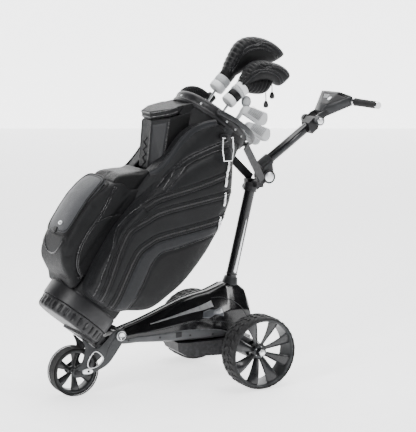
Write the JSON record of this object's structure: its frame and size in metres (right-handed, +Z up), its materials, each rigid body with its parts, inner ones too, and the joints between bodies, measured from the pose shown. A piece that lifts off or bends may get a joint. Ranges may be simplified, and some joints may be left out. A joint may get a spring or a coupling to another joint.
{
  "type": "golf trolley with cart bag",
  "caption": "Electric golf trolley with folding handle and front fork, carrying a leather-look cart bag with lidded pockets and clubs under head covers.",
  "frame": {"origin": "on the ground under the middle of the whole object", "axes": "+Z up, the trolley drives towards -X, +Y across the wheels to its right side"},
  "size_m": [1.2808, 0.584, 1.2427],
  "materials": {
    "gloss_black": "gloss black moulding",
    "tube_black": "gloss black anodised tube",
    "satin_black": "satin black moulding",
    "cast_grey": "dark grey anodised",
    "tyre": "black rubber",
    "rim_black": "satin black moulded wheel",
    "leather": "black synthetic leather",
    "grey_leather": "dark grey synthetic leather",
    "pocket_fabric": "black coated fabric with a leather grain",
    "cover": "quilted black cover",
    "chrome": "polished chrome",
    "steel": "satin steel",
    "battery": "charcoal battery case"
  },
  "bodies": {
    "root": {"drive_axle_left": "steel", "drive_axle_right": "steel", "fork_pivot_pin": "steel", "fold_pin": "steel", "drive_motor_left": "satin_black", "drive_motor_right": "satin_black", "gearbox_housing": "satin_black", "fold_bracket": "satin_black", "base_cradle": "satin_black", "cradle_arm_left": "satin_black", "cradle_arm_right": "satin_black", "bag_base": "satin_black", "bag_rim": "satin_black", "divider_long": "satin_black", "divider_left": "satin_black", "divider_right": "satin_black", "rim_handle": "satin_black", "towel_ring_tab": "satin_black", "chassis": "gloss_black", "lower_tube": "tube_black", "battery_pack": "battery", "bag_shell": "leather", "ball_pocket": "leather", "front_pouch": "leather", "cooler_pocket": "leather", "side_pocket_left": "pocket_fabric", "side_pocket_right": "pocket_fabric"},
    "left_wheel": {"drive_tyre_left": "tyre", "drive_rim_left": "rim_black"},
    "right_wheel": {"drive_tyre_right": "tyre", "drive_rim_right": "rim_black"},
    "fork": {"fork_plate_left": "cast_grey", "fork_plate_right": "cast_grey", "front_axle": "steel"},
    "front_wheel": {"front_tyre": "tyre", "front_rim": "rim_black"},
    "handle": {"upper_socket": "cast_grey", "upper_tube": "tube_black", "handle_clamp": "satin_black"},
    "head": {"control_head": "satin_black", "grip_bar": "steel", "grip_sleeve": "gloss_black", "grip_cap": "chrome"},
    "knob_left": {"clamp_knob_left": "cast_grey"},
    "knob_right": {"clamp_knob_right": "cast_grey"},
    "fold_lock": {"fold_knob": "satin_black"},
    "button": {"power_button": "cast_grey"},
    "dial": {"speed_dial": "chrome"},
    "ball_lid": {"ball_pocket_lid": "grey_leather"},
    "cool_lid": {"cooler_lid": "leather"},
    "ring": {"towel_ring": "chrome"},
    "driver": {"driver_shaft": "steel", "driver_cover": "cover"},
    "fairway": {"fairway_shaft": "steel", "fairway_cover": "cover"},
    "putter": {"putter_shaft": "steel", "putter_cover": "cover"},
    "iron_a": {"iron_1": "chrome"},
    "iron_b": {"iron_2": "chrome"},
    "iron_c": {"iron_3": "chrome"}
  },
  "joints": [
    {"name": "left_wheel_spin", "type": "hinge", "parent": "root", "child": "left_wheel", "pos_m": [0.1, -0.2455, 0.135], "axis": [0, 1, 0], "continuous": true},
    {"name": "right_wheel_spin", "type": "hinge", "parent": "root", "child": "right_wheel", "pos_m": [0.1, 0.2455, 0.135], "axis": [0, 1, 0], "continuous": true},
    {"name": "fork_fold", "type": "hinge", "parent": "root", "child": "fork", "pos_m": [-0.355, 0, 0.204], "axis": [0, 1, 0], "range_deg": [-80, 0]},
    {"name": "front_wheel_spin", "type": "hinge", "parent": "fork", "child": "front_wheel", "pos_m": [-0.525, 0, 0.088], "axis": [0, 1, 0], "continuous": true},
    {"name": "handle_fold", "type": "hinge", "parent": "root", "child": "handle", "pos_m": [0.272, 0, 0.734], "axis": [0, 1, 0], "range_deg": [0, 105]},
    {"name": "head_tilt", "type": "hinge", "parent": "handle", "child": "head", "pos_m": [0.484, 0, 0.934], "axis": [0, 1, 0], "range_deg": [-25, 25]},
    {"name": "clamp_knob_left_turn", "type": "hinge", "parent": "handle", "child": "knob_left", "pos_m": [0.484, -0.046, 0.934], "axis": [0, 1, 0], "continuous": true},
    {"name": "clamp_knob_right_turn", "type": "hinge", "parent": "handle", "child": "knob_right", "pos_m": [0.484, 0.046, 0.934], "axis": [0, 1, 0], "continuous": true},
    {"name": "fold_knob_turn", "type": "hinge", "parent": "root", "child": "fold_lock", "pos_m": [0.2101, 0.03, 0.6954], "axis": [0, 1, 0], "continuous": true},
    {"name": "power_button_press", "type": "slide", "parent": "head", "child": "button", "axis": [0.6606, 0, -0.7507], "range_m": [0, 0.0015], "stiffness_N_per_m": 400},
    {"name": "speed_dial_turn", "type": "hinge", "parent": "head", "child": "dial", "pos_m": [0.6099, -0.0989, 1.0038], "axis": [0.1331, -0.9909, -0.0222], "range_deg": [-140, 140]},
    {"name": "ball_lid_open", "type": "hinge", "parent": "root", "child": "ball_lid", "pos_m": [-0.42074, 0, 0.78703], "axis": [0, 1, 0], "range_deg": [0, 70]},
    {"name": "cooler_lid_open", "type": "hinge", "parent": "root", "child": "cool_lid", "pos_m": [-0.11033, 0, 1.02784], "axis": [0, 1, 0], "range_deg": [0, 70]},
    {"name": "towel_ring_swing", "type": "hinge", "parent": "root", "child": "ring", "pos_m": [-0.00469, -0.204, 0.91571], "axis": [-1, 0, 0], "range_deg": [0, 70]},
    {"name": "driver_lift", "type": "slide", "parent": "root", "child": "driver", "axis": [0.6428, 0, 0.766], "range_m": [0, 0.6]},
    {"name": "fairway_lift", "type": "slide", "parent": "root", "child": "fairway", "axis": [0.6428, 0, 0.766], "range_m": [0, 0.6]},
    {"name": "putter_lift", "type": "slide", "parent": "root", "child": "putter", "axis": [0.6428, 0, 0.766], "range_m": [0, 0.6]},
    {"name": "iron_1_lift", "type": "slide", "parent": "root", "child": "iron_a", "axis": [0.6428, 0, 0.766], "range_m": [0, 0.04]},
    {"name": "iron_2_lift", "type": "slide", "parent": "root", "child": "iron_b", "axis": [0.7036, 0, 0.7106], "range_m": [0, 0.1]},
    {"name": "iron_3_lift", "type": "slide", "parent": "root", "child": "iron_c", "axis": [0.705, 0, 0.7092], "range_m": [0, 0.12]}
  ]
}
